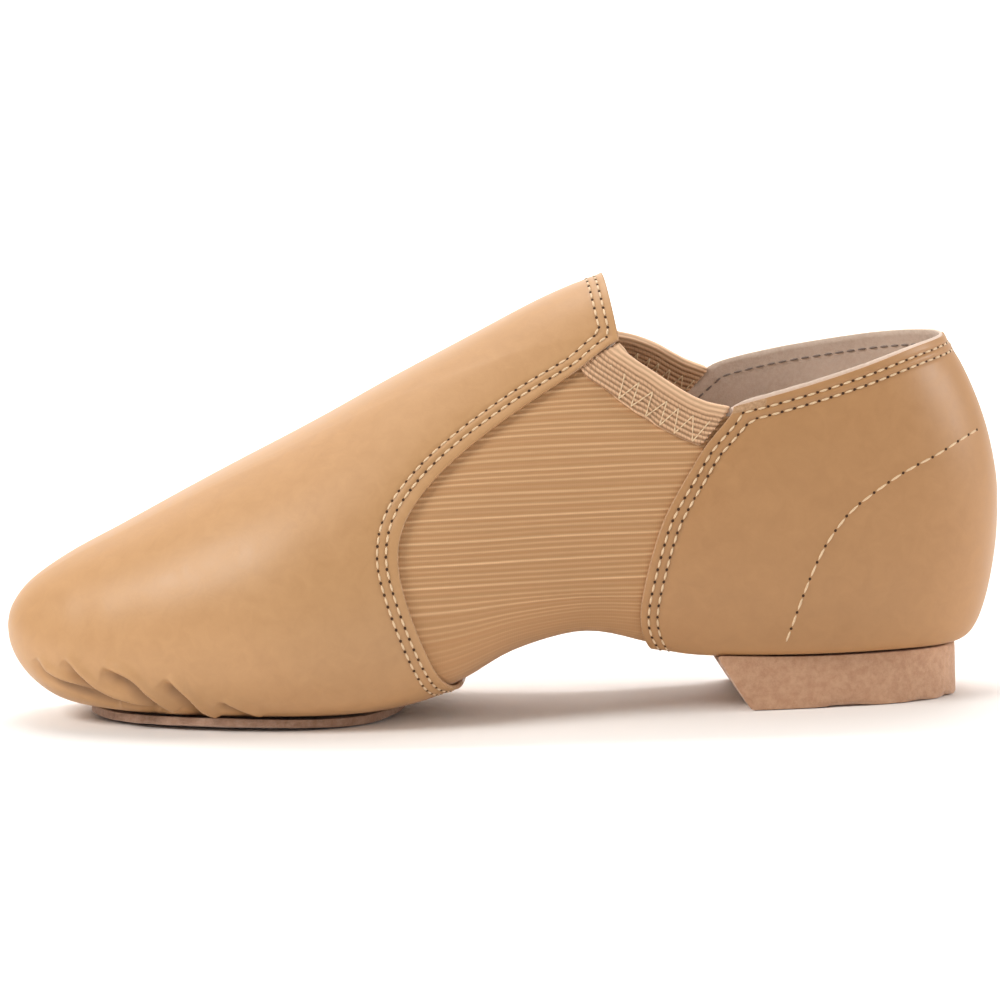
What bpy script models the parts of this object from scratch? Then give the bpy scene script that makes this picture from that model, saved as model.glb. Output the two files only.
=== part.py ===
# A slip-on split-sole jazz shoe for the left foot, in metres, +Z up.
# The toe points along -X and the heel along +X. -Y is the outer side of the foot and +Y the inner side.
# Every wall comes from one form, the outside of the leather as it sits on the last. A layer is an offset
# of that form, so neighbouring layers keep an even gap.

import math
from collections import namedtuple

import bmesh
import bpy
from mathutils import Vector

# Driving sizes of the whole shoe
LENGTH = 0.2450
BALL_WIDTH = 0.0820
HEEL_WIDTH = 0.0600
INSTEP_DEPTH = 0.0858        # underside of the arch to the peak of the vamp
BACK_DEPTH = 0.0757          # heel seat to the topline at the back
COLLAR_DIP = 0.0140          # how far the topline's outer front corner lies under its back
INNER_RAISE = 0.0050         # how much higher the inner front corner is
THROAT_DROP = 0.0150         # peak of the vamp to its two corners
TIP_HEIGHT = 0.0200          # toe tip above the ball's underside
ARCH_RISE = 0.0085           # arch above the line from ball to heel seat
HEEL_TUCK = 0.0310           # how far up the quarter's lower back corner is rounded
BACK_LEAN = 0.0130           # how far the top of the back leans forward
LEAN_START = 0.45            # share of BACK_DEPTH where the lean begins

# Layers and clearances
LEATHER = 0.0011
SLEEVE = 0.0010
BAND = 0.0010
BAND_WIDTH = 0.0124          # straight down the side, from fold to foot
INSOLE = 0.0018
SOLE = 0.0020
HEEL_HEIGHT = 0.0125
GAP = 0.0003
SLANT_GAP = 0.0008           # at the binding's ends, measured along the shoe
SOCK_GAP = 0.0008            # under the insole

# Places along the shoe, as shares of its length from the toe tip
THROAT_PEAK = 0.6040
THROAT_CORNER = 0.6130
QUARTER_CORNER = 0.7225
SOLE_FRONT = 0.0810
SOLE_BACK = 0.3980
INSOLE_FRONT = 0.0600
INSOLE_BACK = 0.9500
HEEL_BREAST_TOP = 0.7020
HEEL_BREAST_FOOT = 0.7350
HEEL_BACK = 0.9535

# Plan widths of the flat pieces: the sole's and insole's are shares of the form's own half width, and the
# heel's is a share of half HEEL_WIDTH
SOLE_FIT = 0.74
INSOLE_FIT = 0.56
HEEL_FIT = 0.81

# Powers of the flat pieces' rounded ends: 2 is an ellipse, and more is squarer
SOLE_POWER = 2.6
INSOLE_POWER = 6.0
HEEL_POWER = 2.8
OPENING_POWER = 4.0

# How closely the rows of the flat pieces crowd at their rounded ends, from 0, even, to 1, a half circle
SOLE_CROWDING = 0.9
INSOLE_CROWDING = 0.4

# How late the collar line leaves the crown on the way from the toe to the throat
COLLAR_POWER = 4

# Openings under the ball and heel, where the sole and heel close the lasted edges
BALL_OPENING = (0.130, 0.360)
SEAT_OPENING = (0.760, 0.920)
OPENING_SHARE = 0.62         # of the flat underside's half width

# Share of a section's turn that each stretch takes: crown to widest point, and widest point to the flat
CROWN_TURN = 0.50
WALL_TURN = 0.80
TOE_STRIP = 0.25             # share of the throat's turn that is left at the toe

# Mesh divisions
VAMP_ROWS = 16
ARCH_ROWS = 8
QUARTER_ROWS = 14
TOP_COLUMNS = 5
BAND_COLUMNS = 2
WALL_COLUMNS = 10
FLOOR_COLUMNS = 1
FLAT_STEPS = 1
CHEEK_STEPS = 3
SOLE_ROWS = 14
INSOLE_ROWS = 28
HEEL_ROWS = 12
STEP = 1e-4                  # station step for the form's normals

Section = namedtuple("Section", "along depth outer inner swing widest flat crown cheek")
# One row for each section of the last. depth is a share of INSTEP_DEPTH, outer and inner of half the local
# width, swing of the ball's width towards the inner side, widest of the section's own depth, and flat of
# the half width. crown and cheek are the powers of the upper and lower curves: 2 is an ellipse, and more
# is squarer.
SECTIONS = (
    Section(0.000, 0.000, 0.00, 0.00, 0.080, 0.45, 0.30, 2.0, 2.0),
    Section(0.020, 0.255, 0.35, 0.32, 0.076, 0.44, 0.32, 2.0, 2.0),
    Section(0.060, 0.408, 0.58, 0.50, 0.066, 0.42, 0.36, 2.0, 2.1),
    Section(0.120, 0.516, 0.77, 0.66, 0.048, 0.39, 0.46, 2.0, 2.2),
    Section(0.200, 0.642, 0.93, 0.80, 0.022, 0.37, 0.56, 2.0, 2.3),
    Section(0.300, 0.783, 1.04, 0.90, 0.000, 0.35, 0.60, 2.0, 2.4),
    Section(0.400, 0.917, 1.03, 0.88, -0.010, 0.34, 0.52, 2.0, 2.4),
    Section(0.450, 0.946, 1.00, 0.84, -0.010, 0.34, 0.47, 2.0, 2.4),
    Section(0.500, 0.940, 0.97, 0.82, -0.008, 0.34, 0.43, 2.0, 2.3),
    Section(0.600, 1.032, 0.97, 0.86, -0.004, 0.36, 0.50, 2.0, 2.3),
    Section(0.700, 1.110, 1.03, 0.94, 0.000, 0.34, 0.68, 2.2, 2.3),
    Section(0.800, 1.160, 1.04, 0.98, 0.000, 0.32, 0.72, 2.4, 2.3),
    Section(0.900, 1.160, 0.90, 0.87, 0.000, 0.32, 0.68, 2.3, 2.2),
    Section(0.960, 1.120, 0.66, 0.64, 0.000, 0.34, 0.46, 2.2, 2.1),
    Section(0.985, 0.980, 0.43, 0.42, 0.000, 0.30, 0.20, 2.2, 2.0),
    Section(1.000, 0.780, 0.00, 0.00, 0.000, 0.20, 0.00, 2.2, 2.0),
)

Underside = namedtuple("Underside", "along on_heel arch tip tuck")
# The line of the form's underside. on_heel goes from the ball's seat to the heel's seat, arch is a share
# of ARCH_RISE, tip of TIP_HEIGHT and tuck of HEEL_TUCK.
UNDERSIDE = (
    Underside(0.000, 0.00, 0.00, 1.00, 0.00),
    Underside(0.020, 0.00, 0.00, 0.42, 0.00),
    Underside(0.060, 0.00, 0.00, 0.11, 0.00),
    Underside(0.120, 0.00, 0.00, 0.02, 0.00),
    Underside(0.190, 0.00, 0.00, 0.00, 0.00),
    Underside(0.340, 0.00, 0.00, 0.00, 0.00),
    Underside(0.400, 0.08, 0.07, 0.00, 0.00),
    Underside(0.450, 0.28, 0.22, 0.00, 0.00),
    Underside(0.500, 0.50, 0.74, 0.00, 0.00),
    Underside(0.570, 0.80, 0.88, 0.00, 0.00),
    Underside(0.620, 0.92, 0.46, 0.00, 0.00),
    Underside(0.660, 1.00, 0.06, 0.00, 0.00),
    Underside(0.710, 1.00, 0.00, 0.00, 0.00),
    Underside(0.950, 1.00, 0.00, 0.00, 0.00),
    Underside(0.970, 1.00, 0.00, 0.00, 0.07),
    Underside(0.985, 1.00, 0.00, 0.00, 0.32),
    Underside(0.995, 1.00, 0.00, 0.00, 0.66),
    Underside(1.000, 1.00, 0.00, 0.00, 1.00),
)

Seam = namedtuple("Seam", "down along")
# The leather edges on the side wall. down is 0 at the collar, BAND_FOOT at the foot of the elastic binding,
# 1 where the wall meets the flat underside and 2 on the centre line underneath.
BAND_FOOT = 0.14
VAMP_EDGE = (
    Seam(0.00, 0.606),
    Seam(0.07, 0.588),
    Seam(BAND_FOOT, 0.570),
    Seam(0.18, 0.543),
    Seam(0.22, 0.512),
    Seam(0.31, 0.443),
    Seam(0.40, 0.397),
    Seam(0.48, 0.384),
    Seam(0.57, 0.391),
    Seam(0.66, 0.406),
    Seam(0.83, 0.430),
    Seam(1.00, 0.452),
    Seam(2.00, 0.462),
)
QUARTER_EDGE = (
    Seam(0.00, QUARTER_CORNER),
    Seam(BAND_FOOT, 0.691),
    Seam(0.27, 0.669),
    Seam(0.35, 0.655),
    Seam(0.44, 0.643),
    Seam(0.56, 0.632),
    Seam(0.72, 0.625),
    Seam(1.00, 0.640),
    Seam(2.00, 0.650),
)

Hem = namedtuple("Hem", "way drop")
# The foot of the binding, from the vamp's edge to the quarter's, as a share of its width.
BAND_HEM = (
    Hem(0.00, 0.98),
    Hem(0.14, 1.15),
    Hem(0.37, 1.14),
    Hem(0.50, 1.06),
    Hem(0.75, 1.00),
    Hem(1.00, 0.91),
)

Rise = namedtuple("Rise", "way outer inner")
# The collar line. way is the share of the distance along. outer and inner are the share of the change in
# height on each side of the foot: from the vamp's corner down to the quarter's, then up to the back.
BAND_LINE = (
    Rise(0.00, 0.00, 0.00),
    Rise(0.08, 0.21, 0.06),
    Rise(0.25, 0.40, 0.15),
    Rise(0.50, 0.69, 0.40),
    Rise(0.75, 0.91, 0.76),
    Rise(1.00, 1.00, 1.00),
)
TOPLINE = (
    Rise(0.00, 0.00, 0.00),
    Rise(0.20, 0.22, 0.30),
    Rise(0.50, 0.56, 0.62),
    Rise(0.80, 0.88, 0.88),
    Rise(1.00, 1.00, 1.00),
)

# Surface finishes: colour, roughness
FINISHES = {
    "tan_leather": ((0.60, 0.35, 0.17, 1.0), 0.50),
    "tan_elastic": ((0.62, 0.38, 0.20, 1.0), 0.85),
    "braided_elastic": ((0.62, 0.40, 0.24, 1.0), 0.80),
    "sock_suede": ((0.55, 0.43, 0.33, 1.0), 0.95),
    "sole_suede": ((0.42, 0.26, 0.17, 1.0), 0.95),
    "heel_suede": ((0.55, 0.33, 0.21, 1.0), 0.95),
}


def station_of(along):
    """Place along the shoe as a turn that is even round the toe and the heel."""
    return math.acos(1.0 - 2.0 * min(max(along, 0.0), 1.0)) / math.pi


def along_of(station):
    return (1.0 - math.cos(math.pi * station)) / 2.0


def mix(a, b, share):
    return a + (b - a) * share


def curve_through(keys, values):
    """Smooth curve through the points that never overshoots them, as a function."""
    spans = [b - a for a, b in zip(keys, keys[1:])]
    slopes = [(b - a) / span for a, b, span in zip(values, values[1:], spans)]
    tangents = [slopes[0]]
    for before, after in zip(slopes, slopes[1:]):
        tangents.append(0.0 if before * after <= 0.0 else 2.0 * before * after / (before + after))
    tangents.append(slopes[-1])

    def value(key):
        key = min(max(key, keys[0]), keys[-1])
        k = max(i for i in range(len(spans)) if keys[i] <= key)
        t = (key - keys[k]) / spans[k]
        start = values[k] * (1 + 2 * t) + tangents[k] * spans[k] * t
        end = values[k + 1] * (3 - 2 * t) - tangents[k + 1] * spans[k] * (1 - t)
        return start * (1 - t) ** 2 + end * t ** 2

    return value


def curves_of(rows, key_field, key=lambda value: value):
    """A curve for each named column of a table."""
    keys = [key(getattr(row, key_field)) for row in rows]
    fields = [name for name in rows[0]._fields if name != key_field]
    return {name: curve_through(keys, [getattr(row, name) for row in rows]) for name in fields}


SECTION = curves_of(SECTIONS, "along", station_of)
UNDER = curves_of(UNDERSIDE, "along", station_of)
VAMP_SEAM = curves_of(VAMP_EDGE, "down")["along"]
QUARTER_SEAM = curves_of(QUARTER_EDGE, "down")["along"]
HEM_DROP = curves_of(BAND_HEM, "way")["drop"]
BAND_FALL = curves_of(BAND_LINE, "way")
TOPLINE_RISE = curves_of(TOPLINE, "way")

BALL_SEAT = SOLE + GAP
HEEL_SEAT = HEEL_HEIGHT + GAP
THROAT = station_of(THROAT_CORNER)


def base_height(station):
    return mix(BALL_SEAT, HEEL_SEAT, UNDER["on_heel"](station))


def underside(station):
    """Height of the form's underside on the centre line."""
    rise = UNDER["arch"](station) * ARCH_RISE + UNDER["tip"](station) * TIP_HEIGHT
    return base_height(station) + rise + UNDER["tuck"](station) * HEEL_TUCK


def side_name(side):
    return "outer" if side < 0 else "inner"


def half_width(station, side):
    local = mix(BALL_WIDTH, HEEL_WIDTH, UNDER["on_heel"](station)) / 2.0
    return local * SECTION[side_name(side)](station)


def heights(station):
    """Heights of the underside, the widest level and the crown."""
    low = underside(station)
    deep = SECTION["depth"](station) * INSTEP_DEPTH
    return low, low + deep * SECTION["widest"](station), low + deep


def lean_at(station, height):
    """How far a point at this height is carried forward by the lean of the back."""
    middle = HEEL_SEAT + BACK_DEPTH * LEAN_START
    up = max(0.0, (height - middle) / (HEEL_SEAT + BACK_DEPTH - middle))
    near_back = max(0.0, (station - THROAT) / (1.0 - THROAT))
    return BACK_LEAN * up ** 2 * math.sin(math.pi / 2 * near_back) ** 2


def form_point(station, turn, side):
    """Point of the form. turn is 0 on the crown line and 1 on the centre line underneath."""
    low, wide, high = heights(station)
    half = half_width(station, side)
    flat = SECTION["flat"](station)
    if turn <= CROWN_TURN:
        angle = math.pi / 2 * turn / CROWN_TURN
        power = 2.0 / SECTION["crown"](station)
        y = half * math.sin(angle) ** power
        z = wide + (high - wide) * max(math.cos(angle), 0.0) ** power
    elif turn <= WALL_TURN:
        angle = math.pi / 2 * (turn - CROWN_TURN) / (WALL_TURN - CROWN_TURN)
        power = 2.0 / SECTION["cheek"](station)
        y = half * mix(max(math.cos(angle), 0.0) ** power, 1.0, flat)
        z = wide - (wide - low) * math.sin(angle) ** power
    else:
        y = half * flat * (1.0 - turn) / (1.0 - WALL_TURN)
        z = low
    x = (along_of(station) - 0.5) * LENGTH - lean_at(station, z)
    return Vector((x, side * y + SECTION["swing"](station) * BALL_WIDTH, z))


def form_normal(station, turn, side):
    if station < STEP:
        return Vector((-1.0, 0.0, 0.0))
    before, after = max(station - STEP, STEP), min(station + STEP, 1.0)
    above, below = max(turn - STEP, 0.0), min(turn + STEP, 1.0)
    along = form_point(after, turn, side) - form_point(before, turn, side)
    around = form_point(station, below, side) - form_point(station, above, side)
    normal = along.cross(around) * side
    if turn <= 0.0 or turn >= 1.0 or station >= 1.0:
        normal.y = 0.0
    return normal.normalized()


def offset_point(station, turn, side, offset):
    return form_point(station, turn, side) + form_normal(station, turn, side) * offset


def turn_at_height(station, height, side):
    """Turn where the upper wall reaches this height."""
    _, wide, high = heights(station)
    share = min(max((height - wide) / (high - wide), 0.0), 1.0)
    return CROWN_TURN * math.acos(share ** (SECTION["crown"](station) / 2.0)) / (math.pi / 2)


def turn_at_reach(station, reach, side):
    """Turn where the underside reaches this distance from the centre line."""
    half = half_width(station, side)
    flat = SECTION["flat"](station)
    if reach <= half * flat:
        return 1.0 - (1.0 - WALL_TURN) * reach / max(half * flat, 1e-9)
    share = min((reach / half - flat) / (1.0 - flat), 1.0)
    angle = math.acos(share ** (SECTION["cheek"](station) / 2.0))
    return CROWN_TURN + (WALL_TURN - CROWN_TURN) * angle / (math.pi / 2)


def collar_height(station, side):
    """Height of the collar line behind the throat."""
    along = along_of(station)
    corner = heights(station_of(THROAT_PEAK))[2] - THROAT_DROP
    back = HEEL_SEAT + BACK_DEPTH
    dip = back - COLLAR_DIP + (INNER_RAISE if side > 0 else 0.0)
    if along < QUARTER_CORNER:
        way = (along - THROAT_CORNER) / (QUARTER_CORNER - THROAT_CORNER)
        return mix(corner, dip, BAND_FALL[side_name(side)](way))
    way = (along - QUARTER_CORNER) / (1.0 - QUARTER_CORNER)
    return mix(dip, back, TOPLINE_RISE[side_name(side)](way))


def collar_turn(station, side, below=0.0):
    """Turn of the collar line, or of a line that far below it. Ahead of the throat it nears the crown."""
    behind = max(station, THROAT)
    turn = turn_at_height(behind, collar_height(behind, side) - below, side)
    return turn * mix(TOE_STRIP, 1.0, (min(station, THROAT) / THROAT) ** COLLAR_POWER)


Column = namedtuple("Column", "zone share down")


def grid_columns():
    """Lines along the shoe, from the crown line to the centre line underneath."""
    top = [Column("top", k / TOP_COLUMNS, 0.0) for k in range(TOP_COLUMNS + 1)]
    band = [Column("band", k / BAND_COLUMNS, BAND_FOOT * k / BAND_COLUMNS) for k in range(BAND_COLUMNS + 1)]
    shares = [k / WALL_COLUMNS for k in range(1, WALL_COLUMNS + 1)]
    wall = [Column("wall", share, mix(BAND_FOOT, 1.0, share)) for share in shares]
    floor = [Column("floor", k / FLOOR_COLUMNS, 1.0 + k / FLOOR_COLUMNS) for k in range(1, FLOOR_COLUMNS + 1)]
    return top + band + wall + floor


COLUMNS = grid_columns()
EDGE_COLUMN = TOP_COLUMNS
INSET_COLUMN = TOP_COLUMNS + 1
BAND_LAST_COLUMN = INSET_COLUMN + BAND_COLUMNS
LAST_COLUMN = len(COLUMNS) - 1
VAMP_END = VAMP_ROWS
QUARTER_START = VAMP_ROWS + ARCH_ROWS
LAST_ROW = QUARTER_START + QUARTER_ROWS


def vamp_edge(column):
    """Station of the vamp's back edge on a column: the throat on top, and the side seam below it."""
    if column.zone == "top":
        return station_of(mix(THROAT_PEAK, THROAT_CORNER, column.share ** 2))
    return station_of(VAMP_SEAM(column.down))


def quarter_edge(column):
    return station_of(QUARTER_SEAM(column.down))


def row_station(row, column):
    if row <= VAMP_END:
        return vamp_edge(column) * row / VAMP_ROWS
    if row <= QUARTER_START:
        return mix(vamp_edge(column), quarter_edge(column), (row - VAMP_END) / ARCH_ROWS)
    return mix(quarter_edge(column), 1.0, (row - QUARTER_START) / QUARTER_ROWS)


def opening_at(along):
    """Half width of the opening underneath, as a share of the flat underside."""
    for start, end in (BALL_OPENING, SEAT_OPENING):
        if start < along < end:
            way = (along - start) / (end - start) * 2.0 - 1.0
            return OPENING_SHARE * math.sqrt(1.0 - abs(way) ** OPENING_POWER)
    return 0.0


def node_place(row, number, side):
    """Station and turn of a grid node."""
    column = COLUMNS[number]
    station = row_station(row, column)
    hem = BAND_WIDTH * HEM_DROP((row - VAMP_END) / ARCH_ROWS)
    if column.zone == "top":
        turn = collar_turn(station, side) * column.share
    elif column.zone == "band":
        turn = collar_turn(station, side, mix(BAND + GAP, hem, column.share))
    elif column.zone == "wall":
        turn = mix(collar_turn(station, side, hem), WALL_TURN, column.share)
    else:
        opening = opening_at(along_of(row_station(row, COLUMNS[LAST_COLUMN])))
        turn = mix(WALL_TURN, 1.0 - (1.0 - WALL_TURN) * opening, column.share)
    return station, turn


def new_object(name, mesh_data, finish):
    bmesh.ops.remove_doubles(mesh_data, verts=mesh_data.verts, dist=1e-6)
    bmesh.ops.dissolve_degenerate(mesh_data, edges=mesh_data.edges, dist=1e-7)
    bmesh.ops.recalc_face_normals(mesh_data, faces=mesh_data.faces)
    mesh = bpy.data.meshes.new(name)
    mesh_data.to_mesh(mesh)
    mesh_data.free()
    mesh.shade_smooth()
    mesh.set_sharp_from_angle(angle=math.radians(50))
    mesh.materials.append(finish_material(finish))
    item = bpy.data.objects.new(name, mesh)
    bpy.context.scene.collection.objects.link(item)
    return item


def finish_material(name):
    material = bpy.data.materials.get(name)
    if material is None:
        colour, roughness = FINISHES[name]
        material = bpy.data.materials.new(name)
        material.use_nodes = True
        shader = material.node_tree.nodes["Principled BSDF"]
        shader.inputs["Base Color"].default_value = colour
        shader.inputs["Roughness"].default_value = roughness
        shader.inputs["Metallic"].default_value = 0.0
    return material


def thicken(sheet, inward):
    """Closes a sheet into a wall. Each new vertex goes where its own layer value says."""
    made = bmesh.ops.extrude_face_region(sheet, geom=sheet.faces[:] + sheet.edges[:] + sheet.verts[:])
    for item in made["geom"]:
        if isinstance(item, bmesh.types.BMVert):
            item.co += item[inward]


def wall_piece(name, cells, offset, thickness, finish):
    """A wall between two offsets of the form, over the given cells of the grid, on both sides."""
    sheet = bmesh.new()
    inward = sheet.verts.layers.float_vector.new("inward")
    for side in (-1, 1):
        nodes = {}
        for row, number in cells:
            for place in ((row, number), (row + 1, number), (row + 1, number + 1), (row, number + 1)):
                if place not in nodes:
                    station, turn = node_place(*place, side)
                    normal = form_normal(station, turn, side)
                    vertex = sheet.verts.new(form_point(station, turn, side) + normal * offset)
                    vertex[inward] = normal * -thickness
                    nodes[place] = vertex
        for row, number in cells:
            ring = [(row, number), (row + 1, number), (row + 1, number + 1), (row, number + 1)]
            sheet.faces.new([nodes[place] for place in (ring if side > 0 else reversed(ring))])
    bmesh.ops.remove_doubles(sheet, verts=sheet.verts, dist=1e-6)
    thicken(sheet, inward)
    return new_object(name, sheet, finish)


def make_upper():
    """Sleeve from toe to heel: the elastic arch, and the lining behind the leather."""
    front = [(row, number) for row in range(VAMP_END) for number in range(LAST_COLUMN)]
    back = [(row, number) for row in range(VAMP_END, LAST_ROW) for number in range(INSET_COLUMN, LAST_COLUMN)]
    return wall_piece("upper", front + back, -(LEATHER + GAP), SLEEVE, "tan_elastic")


def make_vamp():
    cells = [(row, number) for row in range(VAMP_END) for number in range(LAST_COLUMN)]
    return wall_piece("vamp", cells, 0.0, LEATHER, "tan_leather")


def make_quarter():
    rows = range(QUARTER_START, LAST_ROW)
    cells = [(row, number) for row in rows for number in range(EDGE_COLUMN, LAST_COLUMN)]
    return wall_piece("quarter", cells, 0.0, LEATHER, "tan_leather")


def band_ring(row, side):
    """Points round the folded binding at a row: down its outer leg and back up its inner one."""
    sleeve_outside = -(LEATHER + GAP)
    sleeve_inside = sleeve_outside - SLEEVE
    outer_leg = (sleeve_outside + GAP, sleeve_outside + GAP + BAND)
    inner_leg = (sleeve_inside - GAP, sleeve_inside - GAP - BAND)
    legs = [node_place(row, number, side) for number in range(INSET_COLUMN + 1, BAND_LAST_COLUMN + 1)]
    edge = node_place(row, EDGE_COLUMN, side)
    inset = node_place(row, INSET_COLUMN, side)
    fold_station = mix(edge[0], inset[0], BAND / (BAND + GAP))
    fold = (fold_station, collar_turn(fold_station, side, BAND))
    outline = [(place, outer_leg[1]) for place in [edge] + legs]
    outline += [(place, outer_leg[0]) for place in reversed([fold] + legs)]
    outline += [(place, inner_leg[0]) for place in [fold] + legs]
    outline += [(place, inner_leg[1]) for place in reversed([edge] + legs)]
    return [offset_point(*place, side, offset) for place, offset in outline]


def make_band(name, side):
    """Elastic binding folded over the sleeve's edge between the vamp and the quarter."""
    rings = [band_ring(row, side) for row in range(VAMP_END, QUARTER_START + 1)]
    clear = SLANT_GAP / (LENGTH * (QUARTER_CORNER - THROAT_CORNER)) * ARCH_ROWS
    front = [a.lerp(b, clear) for a, b in zip(rings[0], rings[1])]
    back = [a.lerp(b, clear) for a, b in zip(rings[-1], rings[-2])]
    band = bmesh.new()
    loops = []
    for points in [front] + rings[1:-1] + [back]:
        ring = [band.verts.new(point) for point in points]
        loops.append([band.edges.new((a, b)) for a, b in zip(ring, ring[1:] + ring[:1])])
        if points in (front, back):
            band.faces.new(ring)
    for first, second in zip(loops, loops[1:]):
        bmesh.ops.bridge_loops(band, edges=first + second)
    return new_object(name, band, "braided_elastic")


def rounded(way, power):
    """Share of the full width at a way from the middle, 0, to an end, 1."""
    return (1.0 - min(abs(way), 1.0) ** power) ** (1.0 / power)


def plan_reach(along, start, end, fit, side, power):
    """Half width of a sole-shaped outline with rounded ends."""
    way = (along - start) / (end - start) * 2.0 - 1.0
    return half_width(station_of(along), side) * fit * rounded(way, power)


def turns_to(edge):
    """Turns from the centre line underneath out to an edge, in small steps where the form turns up."""
    if edge >= WALL_TURN:
        return [mix(1.0, edge, k / (FLAT_STEPS + CHEEK_STEPS)) for k in range(FLAT_STEPS + CHEEK_STEPS + 1)]
    flat = [mix(1.0, WALL_TURN, k / FLAT_STEPS) for k in range(FLAT_STEPS + 1)]
    return flat + [mix(WALL_TURN, edge, k / CHEEK_STEPS) for k in range(1, CHEEK_STEPS + 1)]


def plan_sheet(alongs, reach, offset, thickness):
    """Sheet under or over the form's underside. reach gives its half width at a place, for a side."""
    sheet = bmesh.new()
    inward = sheet.verts.layers.float_vector.new("inward")
    for side in (-1, 1):
        rows = []
        for along in alongs:
            station = station_of(along)
            row = []
            for turn in turns_to(turn_at_reach(station, reach(along, side), side)):
                normal = form_normal(station, turn, side)
                vertex = sheet.verts.new(form_point(station, turn, side) + normal * offset)
                vertex[inward] = normal * thickness
                row.append(vertex)
            rows.append(row)
        for first, second in zip(rows, rows[1:]):
            for k in range(len(first) - 1):
                ring = (first[k], first[k + 1], second[k + 1], second[k])
                sheet.faces.new(ring if side < 0 else ring[::-1])
    bmesh.ops.remove_doubles(sheet, verts=sheet.verts, dist=1e-6)
    return sheet, inward


def rounded_rows(start, end, count, crowding):
    """Places along a piece. Crowding of 1 packs them close together at its rounded ends, and 0 is even."""
    return [mix(start, end, mix(k / count, along_of(k / count), crowding)) for k in range(count + 1)]


def make_forefoot_sole():
    """Suede patch under the ball, the front half of the split sole."""
    def reach(along, side):
        return plan_reach(along, SOLE_FRONT, SOLE_BACK, SOLE_FIT, side, SOLE_POWER)

    rows = rounded_rows(SOLE_FRONT, SOLE_BACK, SOLE_ROWS, SOLE_CROWDING)
    sheet, inward = plan_sheet(rows, reach, GAP, SOLE)
    thicken(sheet, inward)
    return new_object("forefoot_sole", sheet, "sole_suede")


def make_insole():
    """Sock inside the sleeve, over the lasted edges."""
    floor = -(LEATHER + GAP + SLEEVE + SOCK_GAP)

    def reach(along, side):
        return plan_reach(along, INSOLE_FRONT, INSOLE_BACK, INSOLE_FIT, side, INSOLE_POWER)

    rows = rounded_rows(INSOLE_FRONT, INSOLE_BACK, INSOLE_ROWS, INSOLE_CROWDING)
    sheet, inward = plan_sheet(rows, reach, floor, -INSOLE)
    thicken(sheet, inward)
    return new_object("insole", sheet, "sock_suede")


def make_heel():
    """Low heel block: a curved seat on top, a sloping breast in front and a flat foot."""
    def reach(along, side):
        way = (along - HEEL_BREAST_TOP) / (HEEL_BACK - HEEL_BREAST_TOP)
        return HEEL_WIDTH / 2.0 * HEEL_FIT * rounded(way, HEEL_POWER)

    turns = [math.pi / 2 * k / HEEL_ROWS for k in range(HEEL_ROWS + 1)]
    rows = [mix(HEEL_BREAST_TOP, HEEL_BACK, math.sin(turn)) for turn in turns]
    sheet, _ = plan_sheet(rows, reach, GAP, 0.0)
    made = bmesh.ops.extrude_face_region(sheet, geom=sheet.faces[:] + sheet.edges[:] + sheet.verts[:])
    front = (HEEL_BREAST_TOP - 0.5) * LENGTH
    back = (HEEL_BACK - 0.5) * LENGTH
    foot = (HEEL_BREAST_FOOT - 0.5) * LENGTH
    for item in made["geom"]:
        if isinstance(item, bmesh.types.BMVert):
            item.co.x = mix(foot, back, (item.co.x - front) / (back - front))
            item.co.z = 0.0
    return new_object("heel", sheet, "heel_suede")


def centre(pieces):
    """Stands the shoe over the middle of its own box. The soles are already at height zero."""
    points = [vertex.co for piece in pieces for vertex in piece.data.vertices]
    for axis in (0, 1):
        middle = (min(point[axis] for point in points) + max(point[axis] for point in points)) / 2.0
        for piece in pieces:
            piece.location[axis] = -middle


def main():
    for item in list(bpy.data.objects):
        bpy.data.objects.remove(item)
    centre([
        make_upper(),
        make_vamp(),
        make_quarter(),
        make_band("collar_band_outer", -1),
        make_band("collar_band_inner", 1),
        make_insole(),
        make_forefoot_sole(),
        make_heel(),
    ])


main()
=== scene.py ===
# A left jazz shoe in tan leather: fine surfaces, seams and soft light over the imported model
import math

import bmesh
import bpy
import numpy as np
from mathutils import Matrix, Vector, noise
from mathutils.bvhtree import BVHTree


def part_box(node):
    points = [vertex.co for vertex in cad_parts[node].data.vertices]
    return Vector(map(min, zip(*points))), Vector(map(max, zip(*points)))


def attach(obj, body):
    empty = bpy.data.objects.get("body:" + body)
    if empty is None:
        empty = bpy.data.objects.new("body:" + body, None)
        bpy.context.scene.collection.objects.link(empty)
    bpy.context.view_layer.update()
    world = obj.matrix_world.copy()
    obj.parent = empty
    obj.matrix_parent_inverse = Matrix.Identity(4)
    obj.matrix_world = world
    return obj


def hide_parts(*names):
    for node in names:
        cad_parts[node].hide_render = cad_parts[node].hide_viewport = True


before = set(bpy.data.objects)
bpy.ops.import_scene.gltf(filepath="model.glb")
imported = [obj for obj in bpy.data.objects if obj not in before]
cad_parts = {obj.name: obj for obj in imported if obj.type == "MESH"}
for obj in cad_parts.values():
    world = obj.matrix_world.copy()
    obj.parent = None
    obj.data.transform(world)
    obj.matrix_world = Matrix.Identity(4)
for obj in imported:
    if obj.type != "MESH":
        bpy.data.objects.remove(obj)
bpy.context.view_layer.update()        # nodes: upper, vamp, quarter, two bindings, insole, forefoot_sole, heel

mm = 0.001
centreY = 0.0028                 # the foot's own centre line
outerSide, innerSide = -1, 1     # the camera looks at the outer side


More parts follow.
